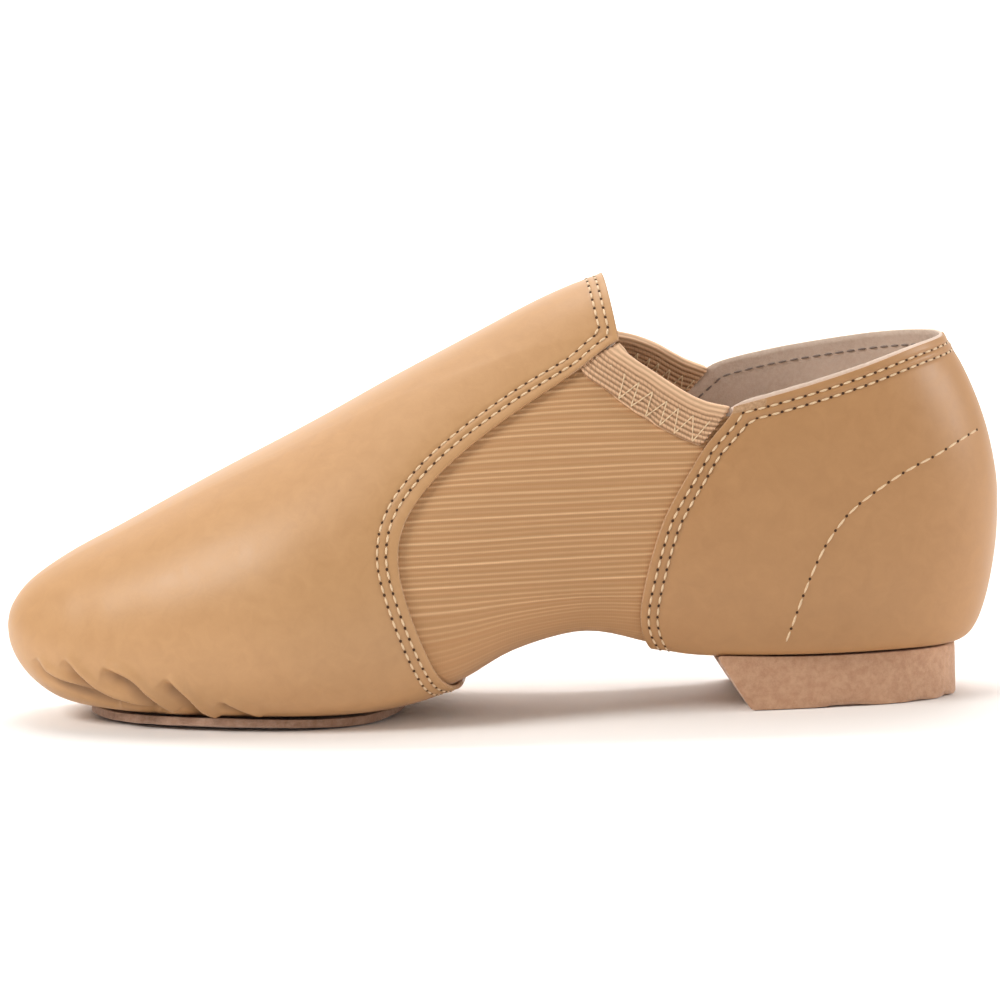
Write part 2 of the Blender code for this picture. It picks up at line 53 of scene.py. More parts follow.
# camera, light and floor
camera = {"azimuth": -3.5, "elevation": 7.0, "roll": -1.4, "distance": 1.1, "lens": 161.3,
          "target": (-0.0007, 0.0028, 0.0503)}
studio = {
    "world": (1.0, 0.99, 0.975), "worldStrength": 0.29,
    # name, place, aimed at, size, watts, colour
    "lamps": (
        ("keyLight", (-0.95, -0.42, 0.90), (-0.02, 0.00, 0.05), 0.55, 12.0, (1.0, 0.97, 0.93)),
        ("topLight", (0.10, 0.30, 1.10), (0.00, 0.00, 0.05), 0.80, 4.6, (1.0, 0.94, 0.90)),
        ("heelLight", (1.10, -0.10, 0.46), (0.10, 0.00, 0.05), 0.45, 6.0, (1.0, 0.96, 0.92)),
        ("frontLight", (0.35, -1.25, 0.55), (0.02, 0.00, 0.05), 0.50, 0.4, (1.0, 0.98, 0.95)),
        ("wallLight", (0.0, 0.55, 1.30), (0.0, 2.00, 0.45), 1.20, 32.0, (1.0, 0.99, 0.98)),
    ),
    "floorColour": (0.94, 0.935, 0.93),
    "sweep": {"front": -2.2, "wallAt": 1.70, "bend": 0.55, "wallTop": 2.4, "halfWidth": 2.6, "steps": 12},
}


def aimed(item, place, target, roll=0.0):
    item.location = place
    turn = (Vector(target) - Vector(place)).to_track_quat("-Z", "Y").to_matrix()
    item.rotation_euler = (turn @ Matrix.Rotation(math.radians(roll), 3, "Z")).to_euler()


def linked(item):
    bpy.context.scene.collection.objects.link(item)
    return item


def makeCamera():
    azimuth, elevation = math.radians(camera["azimuth"]), math.radians(camera["elevation"])
    back = Vector((math.sin(azimuth) * math.cos(elevation), -math.cos(azimuth) * math.cos(elevation),
                   math.sin(elevation)))
    lens = bpy.data.cameras.new("camera")
    lens.lens, lens.sensor_width, lens.clip_start = camera["lens"], 36.0, 0.05
    item = linked(bpy.data.objects.new("camera", lens))
    aimed(item, Vector(camera["target"]) + back * camera["distance"], camera["target"], camera["roll"])
    bpy.context.scene.camera = item


def makeLights():
    world = bpy.data.worlds.new("softSky")
    world.use_nodes = True
    sky = world.node_tree.nodes["Background"]
    sky.inputs["Color"].default_value = (*studio["world"], 1.0)
    sky.inputs["Strength"].default_value = studio["worldStrength"]
    bpy.context.scene.world = world
    for name, place, target, size, watts, colour in studio["lamps"]:
        lamp = bpy.data.lights.new(name, "AREA")
        lamp.shape, lamp.size, lamp.energy, lamp.color = "DISK", size, watts, colour
        aimed(linked(bpy.data.objects.new(name, lamp)), place, target)
    bpy.context.scene.view_settings.view_transform = "Standard"


makeCamera()
makeLights()
print("camera and lights ready")


# node helpers
def place(tree, kind, values=None, **settings):
    made = tree.nodes.new(kind)
    for key, value in settings.items():
        setattr(made, key, value)
    for key, value in (values or {}).items():
        if isinstance(value, bpy.types.NodeSocket):
            tree.links.new(value, made.inputs[key])
        else:
            made.inputs[key].default_value = value
    return made


def maths(tree, operation, *values):
    return place(tree, "ShaderNodeMath", dict(enumerate(values)), operation=operation).outputs[0]


def ranged(tree, value, low, high, newLow, newHigh):
    return place(tree, "ShaderNodeMapRange", {"Value": value, "From Min": low, "From Max": high,
                                              "To Min": newLow, "To Max": newHigh}).outputs["Result"]


def tinted(tree, factor, first, second, mode="MIX"):
    made = place(tree, "ShaderNodeMix", data_type="RGBA", blend_type=mode)
    for socket, value in zip((made.inputs[0], made.inputs[6], made.inputs[7]), (factor, first, second)):
        if isinstance(value, bpy.types.NodeSocket):
            tree.links.new(value, socket)
        else:
            socket.default_value = value if isinstance(value, (int, float)) else (*value, 1.0)
    return made.outputs[2]


def attribute(tree, name):
    return place(tree, "ShaderNodeAttribute", attribute_name=name).outputs["Fac"]


def newGroup(name, inputs, outputs):
    group = bpy.data.node_groups.new(name, "ShaderNodeTree")
    for title, value in inputs:
        socket = group.interface.new_socket(title, in_out="INPUT", socket_type="NodeSocketFloat")
        socket.default_value = value
    for title in outputs:
        group.interface.new_socket(title, in_out="OUTPUT", socket_type="NodeSocketFloat")
    return group, group.nodes.new("NodeGroupInput"), group.nodes.new("NodeGroupOutput")


def grouped(tree, group, values):
    made = place(tree, "ShaderNodeGroup", node_tree=group)
    for key, value in values.items():
        if isinstance(value, bpy.types.NodeSocket):
            tree.links.new(value, made.inputs[key])
        else:
            made.inputs[key].default_value = value
    return made.outputs


def newMaterial(name, **fixed):
    material = bpy.data.materials.new(name)
    material.use_nodes = True
    shader = material.node_tree.nodes["Principled BSDF"]
    for key, value in fixed.items():
        shader.inputs[key.replace("_", " ")].default_value = value
    return material, material.node_tree, shader


def joinHeight(tree, shader, height, distance, strength=1.0):
    bump = place(tree, "ShaderNodeBump", {"Height": height, "Distance": distance, "Strength": strength})
    tree.links.new(bump.outputs["Normal"], shader.inputs["Normal"])


def makeGrainGroup():
    group, given, out = newGroup("fineGrain", [("Cells", 1500.0), ("Wrinkles", 260.0)],
                                 ["Height", "Mottle", "Cloud"])
    spots = place(group, "ShaderNodeTexCoord").outputs["Object"]
    warp = place(group, "ShaderNodeTexNoise", {"Vector": spots, "Scale": 420.0, "Detail": 3.0})
    cells = place(group, "ShaderNodeTexVoronoi", {"Vector": spots, "Scale": given.outputs["Cells"],
                                                  "Smoothness": 0.6}, feature="SMOOTH_F1")
    folds = place(group, "ShaderNodeTexNoise", {"Vector": spots, "Scale": given.outputs["Wrinkles"],
                                                "Detail": 6.0, "Roughness": 0.62, "Distortion": 0.6})
    cloud = place(group, "ShaderNodeTexNoise", {"Vector": spots, "Scale": 26.0, "Detail": 4.0})
    small = maths(group, "MULTIPLY", cells.outputs["Distance"], 0.30)
    group.links.new(maths(group, "ADD", maths(group, "MULTIPLY", folds.outputs["Fac"], 0.8),
                          maths(group, "ADD", small, maths(group, "MULTIPLY", warp.outputs["Fac"], 0.25))),
                    out.inputs["Height"])
    group.links.new(ranged(group, folds.outputs["Fac"], 0.30, 0.72, 0.0, 1.0), out.inputs["Mottle"])
    group.links.new(ranged(group, cloud.outputs["Fac"], 0.30, 0.70, 0.0, 1.0), out.inputs["Cloud"])
    return group


def makeNapGroup():
    group, given, out = newGroup("suedeNap", [("Fibre", 2600.0), ("Fleck", 900.0)],
                                 ["Height", "Fleck", "Cloud"])
    spots = place(group, "ShaderNodeTexCoord").outputs["Object"]
    fibre = place(group, "ShaderNodeTexNoise", {"Vector": spots, "Scale": given.outputs["Fibre"],
                                                "Detail": 5.0, "Roughness": 0.75})
    fleck = place(group, "ShaderNodeTexNoise", {"Vector": spots, "Scale": given.outputs["Fleck"],
                                                "Detail": 4.0, "Roughness": 0.7})
    cloud = place(group, "ShaderNodeTexNoise", {"Vector": spots, "Scale": 60.0, "Detail": 3.0})
    group.links.new(maths(group, "ADD", fibre.outputs["Fac"], fleck.outputs["Fac"]), out.inputs["Height"])
    group.links.new(ranged(group, fleck.outputs["Fac"], 0.36, 0.64, 0.0, 1.0), out.inputs["Fleck"])
    group.links.new(ranged(group, cloud.outputs["Fac"], 0.32, 0.68, 0.0, 1.0), out.inputs["Cloud"])
    return group


grain, nap = makeGrainGroup(), makeNapGroup()
# the stitch rows and the swells beside them, in mm from the leather's edge: place, height, width
seam = {"first": 2.15, "second": 4.25, "width": 0.55, "pressed": (-0.26, 0.6),
        "between": (3.2, 0.12, 0.7), "behind": (5.6, -0.10, 1.4)}


# finishes
def leatherFinish():
    material, tree, shader = newMaterial("tanLeather", Roughness=0.46, Coat_Weight=0.06, Coat_Roughness=0.35,
                                         Sheen_Weight=0.05, Sheen_Roughness=0.4)
    skin = grouped(tree, grain, {"Cells": 1500.0, "Wrinkles": 230.0})
    reach, fold = attribute(tree, "reach"), attribute(tree, "fold")
    grooves = []
    for row in (seam["first"], seam["second"]):
        off = maths(tree, "DIVIDE", maths(tree, "SUBTRACT", reach, row), seam["width"])
        square = maths(tree, "MULTIPLY", off, off)
        grooves.append(maths(tree, "POWER", math.e, maths(tree, "MULTIPLY", square, -1.0)))
    groove = maths(tree, "ADD", *grooves)
    colour = tinted(tree, skin["Mottle"], (0.510, 0.276, 0.118), (0.572, 0.318, 0.142))
    colour = tinted(tree, maths(tree, "MULTIPLY", skin["Cloud"], 0.35), colour, (0.530, 0.305, 0.138))
    # painted shade: the leather's colour is darkened down in the stitch grooves
    colour = tinted(tree, maths(tree, "MULTIPLY", groove, 0.35), colour, (0.36, 0.185, 0.078))
    # painted shade: the colour is darkened down in the toe's troughs
    colour = tinted(tree, ranged(tree, fold, 0.25, 1.0, 0.0, 0.75), colour, (0.20, 0.095, 0.038))
    # painted shade: the quarter's leather colour is multiplied darker
    colour = tinted(tree, attribute(tree, "paintedShade"), colour, (0.86, 0.79, 0.70), "MULTIPLY")
    tree.links.new(colour, shader.inputs["Base Color"])
    tree.links.new(ranged(tree, skin["Mottle"], 0.0, 1.0, 0.42, 0.52), shader.inputs["Roughness"])
    height = maths(tree, "SUBTRACT", maths(tree, "MULTIPLY", skin["Height"], 0.16),
                   maths(tree, "MULTIPLY", groove, 0.55))
    joinHeight(tree, shader, height, 0.35 * mm, 0.55)
    return material


def rawEdgeFinish():
    material, tree, shader = newMaterial("rawEdge", Roughness=0.85)
    fuzz = grouped(tree, nap, {"Fibre": 3000.0, "Fleck": 1400.0})
    tree.links.new(tinted(tree, fuzz["Fleck"], (0.42, 0.235, 0.115), (0.60, 0.38, 0.22)),
                   shader.inputs["Base Color"])
    joinHeight(tree, shader, fuzz["Height"], 0.12 * mm, 0.6)
    return material


def suedeFinish(name, dark, light, fleck, scale, relief):
    material, tree, shader = newMaterial(name, Roughness=0.95, Sheen_Weight=0.35, Sheen_Roughness=0.55)
    fuzz = grouped(tree, nap, {"Fibre": 2600.0 * scale, "Fleck": 900.0 * scale})
    colour = tinted(tree, fuzz["Cloud"], dark, light)
    colour = tinted(tree, maths(tree, "MULTIPLY", fuzz["Fleck"], 0.55), colour, fleck)
    tree.links.new(colour, shader.inputs["Base Color"])
    joinHeight(tree, shader, fuzz["Height"], relief * mm, 0.8)
    return material


def ribFinish():
    material, tree, shader = newMaterial("ribbedElastic", Roughness=0.82,
                                         Sheen_Weight=0.15, Sheen_Roughness=0.5)
    ridge = attribute(tree, "ridge")
    weave = place(tree, "ShaderNodeUVMap", uv_map="weave").outputs["UV"]
    knit = place(tree, "ShaderNodeTexWave", {"Vector": weave, "Scale": 0.62, "Distortion": 0.8, "Detail": 2.0,
                                             "Detail Scale": 1.5}, wave_type="BANDS", bands_direction="X")
    fine = place(tree, "ShaderNodeTexWave", {"Vector": weave, "Scale": 0.50, "Distortion": 0.5, "Detail": 1.0,
                                             "Detail Scale": 2.0}, wave_type="BANDS", bands_direction="Y")
    drawn = place(tree, "ShaderNodeMapping", {"Vector": weave, "Scale": (0.035, 1.6, 1.0)}).outputs["Vector"]
    streak = place(tree, "ShaderNodeTexNoise", {"Vector": drawn, "Scale": 1.0, "Detail": 3.0}).outputs["Fac"]
    # the ridges are painted lighter and the valleys darker: the lighter ridges are partly a paler thread and
    # partly painted highlight, the dark valleys painted shade
    colour = tinted(tree, ridge, (0.520, 0.270, 0.115), (0.900, 0.585, 0.325))
    colour = tinted(tree, ranged(tree, streak, 0.35, 0.65, 0.0, 0.45), colour, (0.50, 0.285, 0.130))
    colour = tinted(tree, maths(tree, "MULTIPLY", knit.outputs["Fac"], 0.10), colour, (0.34, 0.18, 0.075))
    tree.links.new(colour, shader.inputs["Base Color"])
    height = maths(tree, "ADD", maths(tree, "MULTIPLY", knit.outputs["Fac"], 0.25),
                   maths(tree, "MULTIPLY", fine.outputs["Fac"], 0.5))
    joinHeight(tree, shader, height, 0.08 * mm, 0.7)
    return material


def braidFinish():
    material, tree, shader = newMaterial("braidedElastic", Roughness=0.75,
                                         Sheen_Weight=0.2, Sheen_Roughness=0.45)
    ridge, depth = attribute(tree, "ridge"), attribute(tree, "depth")
    weave = place(tree, "ShaderNodeUVMap", uv_map="weave").outputs["UV"]
    brick = place(tree, "ShaderNodeTexBrick", {"Vector": weave, "Scale": 1.0, "Mortar Size": 0.10,
                                               "Mortar Smooth": 1.0, "Brick Width": 1.15,
                                               "Row Height": 1.15, "Bias": 0.0})
    braid = maths(tree, "MULTIPLY", brick.outputs["Fac"], ranged(tree, depth, 2.2, 3.6, 0.0, 1.0))
    # painted highlight and shade: the cords' crests are painted lighter and the gaps between them darker
    colour = tinted(tree, ridge, (0.33, 0.165, 0.075), (0.84, 0.525, 0.310))
    colour = tinted(tree, maths(tree, "MULTIPLY", braid, 0.6), colour, (0.30, 0.155, 0.07))
    # painted highlight along the top of the binding, where it folds over
    colour = tinted(tree, ranged(tree, depth, 1.0, 3.2, 0.35, 0.0), colour, (0.93, 0.65, 0.42))
    tree.links.new(colour, shader.inputs["Base Color"])
    joinHeight(tree, shader, maths(tree, "MULTIPLY", braid, -1.0), 0.16 * mm, 0.8)
    return material


def threadFinish(name, dark, light):
    material, tree, shader = newMaterial(name, Roughness=0.55, Sheen_Weight=0.2)
    spots = place(tree, "ShaderNodeTexCoord").outputs["Object"]
    twist = place(tree, "ShaderNodeTexNoise", {"Vector": spots, "Scale": 3200.0, "Detail": 2.0})
    tree.links.new(tinted(tree, twist.outputs["Fac"], dark, light), shader.inputs["Base Color"])
    joinHeight(tree, shader, twist.outputs["Fac"], 0.06 * mm, 0.8)
    return material


# near-black discs that paint the shade inside the needle holes
def holeFinish():
    material, tree, shader = newMaterial("needleHoleShade", Roughness=0.9)
    spots = place(tree, "ShaderNodeTexCoord").outputs["Object"]
    dust = place(tree, "ShaderNodeTexNoise", {"Vector": spots, "Scale": 2400.0, "Detail": 2.0}).outputs["Fac"]
    tree.links.new(tinted(tree, dust, (0.030, 0.012, 0.004), (0.085, 0.036, 0.013)),
                   shader.inputs["Base Color"])
    return material


def floorFinish():
    material, tree, shader = newMaterial("paleFloor", Roughness=0.75)
    spots = place(tree, "ShaderNodeTexCoord").outputs["Object"]
    haze = place(tree, "ShaderNodeTexNoise", {"Vector": spots, "Scale": 3.0, "Detail": 2.0}).outputs["Fac"]
    lighter = tuple(min(1.0, c + 0.02) for c in studio["floorColour"])
    tree.links.new(tinted(tree, haze, studio["floorColour"], lighter), shader.inputs["Base Color"])
    return material


finish = {
    "leather": leatherFinish(),
    "rawEdge": rawEdgeFinish(),
    # name, dark, light, fleck, scale of the nap, relief in mm
    "lining": suedeFinish("taupeSuede", (0.68, 0.515, 0.405), (0.80, 0.625, 0.505),
                          (0.86, 0.72, 0.61), 1.0, 0.12),
    "sock": suedeFinish("sockSuede", (0.47, 0.375, 0.30), (0.55, 0.45, 0.37),
                        (0.66, 0.56, 0.48), 0.8, 0.12),
    "soleSuede": suedeFinish("soleSuede", (0.34, 0.195, 0.125), (0.46, 0.275, 0.185),
                             (0.62, 0.42, 0.31), 0.7, 0.30),
    "heelSuede": suedeFinish("heelSuede", (0.48, 0.252, 0.142), (0.55, 0.300, 0.174),
                             (0.72, 0.45, 0.28), 0.7, 0.26),
    "creamEdge": suedeFinish("creamEdge", (0.66, 0.50, 0.37), (0.76, 0.60, 0.46),
                             (0.84, 0.70, 0.57), 1.2, 0.10),
    "ribs": ribFinish(),
    "braid": braidFinish(),
    "thread": threadFinish("thread", (0.66, 0.45, 0.255), (0.93, 0.72, 0.47)),
    "greyThread": threadFinish("greyThread", (0.20, 0.155, 0.13), (0.34, 0.27, 0.23)),
    "hole": holeFinish(),
    "floor": floorFinish(),
}
print("finishes ready:", len(finish))


# shape helpers
def mergedCopy(node):
    shell = bmesh.new()
    shell.from_mesh(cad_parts[node].data)
    bmesh.ops.remove_doubles(shell, verts=shell.verts, dist=1e-5)
    bmesh.ops.join_triangles(shell, faces=shell.faces, angle_face_threshold=math.pi,
                             angle_shape_threshold=math.radians(120), topology_influence=1.0)
    for face in shell.faces:
        face.smooth = True
        face.material_index = 0
    return shell


def isSharp(edge, degrees=50):
    return len(edge.link_faces) == 2 and edge.calc_face_angle() > math.radians(degrees)


def creaseSharp(shell, amount, degrees=50):
    layer = shell.edges.layers.float.new("crease_edge")
    for edge in shell.edges:
        if isSharp(edge, degrees):
            edge[layer] = amount


def newPiece(name, shell, *materials):
    mesh = bpy.data.meshes.new(name)
    shell.to_mesh(mesh)
    shell.free()
    for material in materials:
        mesh.materials.append(finish[material])
    return linked(bpy.data.objects.new(name, mesh))


def settled(item):
    # applies every modifier of the piece
    graph = bpy.context.evaluated_depsgraph_get()
    mesh = bpy.data.meshes.new_from_object(item.evaluated_get(graph))
    item.modifiers.clear()
    item.data = mesh
    mesh.name = item.name
    return item


def smoothed(item, levels):
    modifier = item.modifiers.new("Smooth", "SUBSURF")
    modifier.levels = modifier.render_levels = levels
    return settled(item)


def thickened(item, thickness, offset):
    modifier = item.modifiers.new("Wall", "SOLIDIFY")
    modifier.thickness, modifier.offset = thickness, offset
    modifier.material_offset_rim = 1 if len(item.data.materials) > 1 else 0
    return settled(item)


def pointsOf(item, field="co"):
    flat = np.empty(len(item.data.vertices) * 3)
    item.data.vertices.foreach_get(field, flat)
    return flat.reshape(-1, 3)


def setPoints(item, points):
    item.data.vertices.foreach_set("co", points.ravel())
    item.data.update()


def setAttribute(item, name, values):
    item.data.attributes.new(name, "FLOAT", "POINT").data.foreach_set("value", np.asarray(values, float))


def treeOf(item):
    return BVHTree.FromPolygons([v.co.copy() for v in item.data.vertices],
                                [list(p.vertices) for p in item.data.polygons])


def placed(item, slotName, *replaced):
    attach(item, "root")
    if replaced:
        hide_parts(*replaced)
    print("piece", item.name, "faces", len(item.data.polygons))
    return item


# the middle of the hollow, as x and height, and how far it is drawn in towards the middle of the shoe
core = {"x": (-0.1225, -0.10, -0.05, 0.0, 0.04, 0.12), "z": (0.021, 0.023, 0.030, 0.046, 0.050, 0.050),
        "drawn": 0.75}


def middleAt(spot):
    # a point well inside the shoe, beside this one
    return Vector((spot[0] * core["drawn"], centreY, np.interp(spot[0], core["x"], core["z"])))


def facesOut(face):
    spot = face.calc_center_median()
    return face.normal.dot(spot - middleAt(spot)) > 0.0


def lineThrough(points, step, closed=False):
    # smooth curve through the points, resampled evenly
    points = np.array(points, float)
    count = len(points)
    spans = count if closed else count - 1
    fine = []
    for k in range(spans):
        pick = [(k + j) % count if closed else min(max(k + j, 0), count - 1) for j in (-1, 0, 1, 2)]
        a, b, c, d = points[pick]
        for t in np.linspace(0, 1, 9)[:-1]:
            fine.append(0.5 * (2 * b + (c - a) * t + (2 * a - 5 * b + 4 * c - d) * t ** 2
                               + (3 * b - a - 3 * c + d) * t ** 3))
    fine.append(points[0] if closed else points[-1])
    return evenly(np.array(fine), step, closed)


def evenly(line, step, closed=False):
    if closed and np.linalg.norm(line[0] - line[-1]) > 1e-7:
        line = np.vstack([line, line[:1]])
    lengths = np.concatenate([[0.0], np.cumsum(np.linalg.norm(np.diff(line, axis=0), axis=1))])
    count = max(2, int(round(lengths[-1] / step)))
    marks = np.linspace(0.0, lengths[-1], count + 1)
    even = np.array([np.interp(marks, lengths, line[:, axis]) for axis in range(3)]).T
    return even[:-1] if closed else even


def reachOf(points, line, closed=False, chunk=4000):
    # distance from each point to the line, and how far along the line it is, from 0 to 1
    ends = np.roll(line, -1, axis=0) if closed else line[1:]
    starts = line if closed else line[:-1]
    along = ends - starts
    size = np.maximum((along ** 2).sum(1), 1e-18)
    reach, way = np.empty(len(points)), np.empty(len(points))
    for k in range(0, len(points), chunk):
        part = points[k:k + chunk, None, :] - starts[None]
        share = np.clip((part * along[None]).sum(2) / size, 0.0, 1.0)
        gap = np.linalg.norm(part - share[..., None] * along[None], axis=2)
        best = gap.argmin(1)
        rows = np.arange(len(best))
        reach[k:k + chunk] = gap[rows, best]
        way[k:k + chunk] = (best + share[rows, best]) / len(starts)
    return reach, way


def chained(links):
    # walks linked points into lines, longest first
    lines, left = [], set(links)
    while left:
        start = next((key for key in left if len(links[key]) == 1), next(iter(left)))
        line, spot, last = [start], start, None
        left.discard(start)
        while True:
            ahead = [key for key in links[spot] if key != last and key in left]
            if not ahead:
                break
            last, spot = spot, ahead[0]
            left.discard(spot)
            line.append(spot)
        lines.append((line, len(line) > 2 and line[0] in links[line[-1]]))
    return sorted(lines, key=lambda item: -len(item[0]))


def edgeLoop(shell, keep):
    # outer edge of a leather piece, as a smooth closed line
    links = {}
    for edge in shell.edges:
        if not isSharp(edge) or not keep((edge.verts[0].co + edge.verts[1].co) / 2):
            continue
        if not facesOut(max(edge.link_faces, key=lambda face: face.calc_area())):
            continue
        a, b = edge.verts
        links.setdefault(a, []).append(b)
        links.setdefault(b, []).append(a)
    # the leather's own thickness at a corner leaves spurs
    for spur in [vert for vert in links if len(links[vert]) == 1]:
        links[links[spur][0]].remove(spur)
        del links[spur]
    line, _ = chained(links)[0]
    return lineThrough([vert.co for vert in line], 0.8 * mm, closed=True)


def contours(item, values, level, allowed):
    # lines on the piece where the value has this level
    quads = np.array([list(p.vertices) for p in item.data.polygons if len(p.vertices) == 4])
    local = values[quads]
    crossed = allowed[quads].all(1) & (local.min(1) < level) & (local.max(1) >= level)
    points = pointsOf(item)
    spots, links = {}, {}
    for quad in quads[crossed]:
        cuts = []
        for a, b in zip(quad, np.roll(quad, -1)):
            if (values[a] < level) != (values[b] < level):
                key = (min(a, b), max(a, b))
                share = (level - values[a]) / (values[b] - values[a])
                spots[key] = points[a] + (points[b] - points[a]) * share
                cuts.append(key)
        if len(cuts) == 2:
            links.setdefault(cuts[0], []).append(cuts[1])
            links.setdefault(cuts[1], []).append(cuts[0])
    return [(np.array([spots[key] for key in line]), closed)
            for line, closed in chained(links) if len(line) > 12]


def sideHit(tree, x, z, side):
    # where a level line from the side meets a surface
    hit, normal, _, _ = tree.ray_cast(Vector((x, centreY + side * 0.12, z)), Vector((0, -side, 0)))
    return (hit, normal) if hit is not None else (None, None)


# the leather vamp, with the pleats that are gathered under the toe
toe = {
    # troughs on the outer side, from top to sole, as x and height in mm: line, depth, width
    "troughs": (
        (((-115.4, 16.5), (-112.8, 12.8), (-105.4, 9.4), (-95.0, 5.7)), 2.0, 1.7),
        (((-108.6, 16.9), (-104.4, 12.3), (-98.6, 8.4), (-85.8, 4.2)), 2.4, 2.1),
        (((-99.2, 15.1), (-92.6, 12.0), (-88.3, 8.1), (-82.0, 4.0)), 2.4, 2.3),
        (((-84.3, 13.1), (-79.3, 8.3), (-76.0, 4.6), (-72.6, 3.1)), 2.2, 2.1),
        (((-71.2, 7.4), (-65.8, 4.6), (-61.9, 3.2)), 1.3, 1.6),
    ),
    "innerShift": 3.0,          # how much further forward the same pleats start on the inner side
    "lip": 0.42,                # raised fold behind a trough, as a share of its depth
    "soft": 2.6, "sharp": 0.85,  # how wide a trough is ahead of its line and behind it, in mm
    "dimples": ((-103.0, 25.0, 0.35, 4.0), (-92.0, 22.0, 0.30, 4.5), (-112.0, 23.0, 0.30, 3.5)),
    "fine": (-0.056, 0.021),    # refined ahead of this x and under this height, in m
}


def trough(points, normals, line, depth, width, side):
    # steep behind its line, where the next fold laps over, and soft ahead of it
    reach, way = reachOf(points, line)
    tangents = np.gradient(line, axis=0)
    at = np.clip((way * (len(line) - 1)).astype(int), 0, len(line) - 1)
    base = line[at] + tangents[at] * ((way * (len(line) - 1)) - at)[:, None]
    behind = ((points - base) * np.cross(normals, tangents[at])).sum(1) * -side
    u = reach / mm * np.where(behind > 0.0, 1.0, -1.0)
    ends = np.clip(way / 0.20, 0.0, 1.0) ** 0.8 * np.clip((1.0 - way) / 0.05, 0.0, 1.0) ** 0.5
    dip = np.exp(-(u / np.where(u > 0.0, toe["sharp"], toe["soft"] * width / 1.8)) ** 2)
    lip = np.exp(-((u - 2.0) / 1.5) ** 2)
    return depth * mm * ends * (toe["lip"] * lip - dip), dip * ends


def toeLines(tree):
    lines = []
    for side in (outerSide, innerSide):
        for spots, depth, width in toe["troughs"]:
            line = []
            for x, z in spots:
                shift = -toe["innerShift"] if side == innerSide else 0.0
                hit, _ = sideHit(tree, max(x + shift, -119.5) * mm, z * mm, side)
                if hit is not None:
                    line.append(hit)
            if len(line) > 2:
                lines.append((lineThrough(line, 1.2 * mm), depth * (0.9 if side == innerSide else 1.0),
                              width, side))
    return lines


def toeRelief(points, normals, lines, behind=0.0):
    # soft gathers: the same move for the leather and for the lining behind it
    points = points + normals * (behind * mm)
    lift, fold = np.zeros(len(points)), np.zeros(len(points))
    for line, depth, width, side in lines:
        near = np.nonzero((points[:, 0] < -0.050) & ((points[:, 1] - centreY) * side > -0.004))[0]
        rise, dip = trough(points[near], normals[near], line, depth, width, side)
        lift[near] += rise
        fold[near] = np.maximum(fold[near], dip)
    for x, z, depth, width in toe["dimples"]:
        away = np.hypot(points[:, 0] - x * mm, (points[:, 2] - z * mm) * 0.45) / (width * mm)
        lift -= depth * mm * np.exp(-away ** 2)
    return np.clip(lift, -2.2 * mm, 0.9 * mm), fold


def refined(item, region):
    # halves the faces of one region
    shell = bmesh.new()
    shell.from_mesh(item.data)
    chosen = [face for face in shell.faces if region(face.calc_center_median())]
    edges = {edge for face in chosen for edge in face.edges}
    bmesh.ops.subdivide_edges(shell, edges=list(edges), cuts=1, use_grid_fill=True)
    shell.to_mesh(item.data)
    shell.free()


def withoutInside(item, edge, most):
    # the leather's flesh side is hidden by the lining, except along its edges
    shell = bmesh.new()
    shell.from_mesh(item.data)
    centres = np.array([face.calc_center_median() for face in shell.faces])
    far = reachOf(centres, edge, closed=True)[0] > most * mm
    hidden = [face for face, away in zip(shell.faces, far) if away and not facesOut(face)]
    bmesh.ops.delete(shell, geom=hidden, context="FACES")
    shell.to_mesh(item.data)
    shell.free()


def seamRelief(reach, outer):
    # the leather is drawn in at each stitch row and swells between them
    rows = [(seam[name], *seam["pressed"]) for name in ("first", "second")]
    rise = sum(height * np.exp(-((reach / mm - spot) / width) ** 2)
               for spot, height, width in (*rows, seam["between"], seam["behind"]))
    return rise * mm * outer


def outerShare(points, normals):
    middles = np.array([middleAt(p) for p in points])
    away = points - middles
    return ((away * normals).sum(1) > 0.0).astype(float)


# inside is how far in from its edges the flesh side is kept, in mm, and the painted shade values say how much
# darker each piece's colour is painted
leather = {"levels": 3, "crease": 0.9, "inside": 9.0, "edgeFace": 14e-6, "vampPaintedShade": 0.0, "quarterPaintedShade": 0.8}
vampShell = mergedCopy("vamp")
vampEdge = edgeLoop(vampShell, lambda spot: spot.x > -0.030)
quarterShell = mergedCopy("quarter")
quarterEdge = edgeLoop(quarterShell, lambda spot: not (spot.z < 0.017 and spot.x > 0.055))
print("leather edges: vamp", len(vampEdge), "points, quarter", len(quarterEdge))


def leatherPiece(name, shell, paintedShade, edge, reliefLines, node):
    for face in shell.faces:
        if sum(isSharp(e) for e in face.edges) >= 2 and face.calc_area() < leather["edgeFace"]:
            face.material_index = 1
    creaseSharp(shell, leather["crease"])
    piece = smoothed(newPiece(name, shell, "leather", "rawEdge"), leather["levels"])
    withoutInside(piece, edge, leather["inside"])
    if reliefLines:
        refined(piece, lambda spot: spot.x < toe["fine"][0] and spot.z < toe["fine"][1])
    points, normals = pointsOf(piece), pointsOf(piece, "normal")
    outer = outerShare(points, normals)
    reach, _ = reachOf(points, edge, closed=True)
    lift = seamRelief(reach, outer)
    fold = np.zeros(len(points))
    if reliefLines:
        rise, fold = toeRelief(points, normals, reliefLines)
        lift += rise * outer
    setPoints(piece, points + normals * lift[:, None])
    setAttribute(piece, "reach", np.minimum(reach / mm, 30.0))
    # fold marks the toe's troughs, where the leather gets painted shade
    setAttribute(piece, "fold", fold)
    # how strongly painted shade darkens this piece's colour
    setAttribute(piece, "paintedShade", np.full(len(points), paintedShade))
    rows = [contours(piece, reach / mm, level, outer > 0.5) for level in (seam["first"], seam["second"])]
    return placed(piece, "leather", node), rows


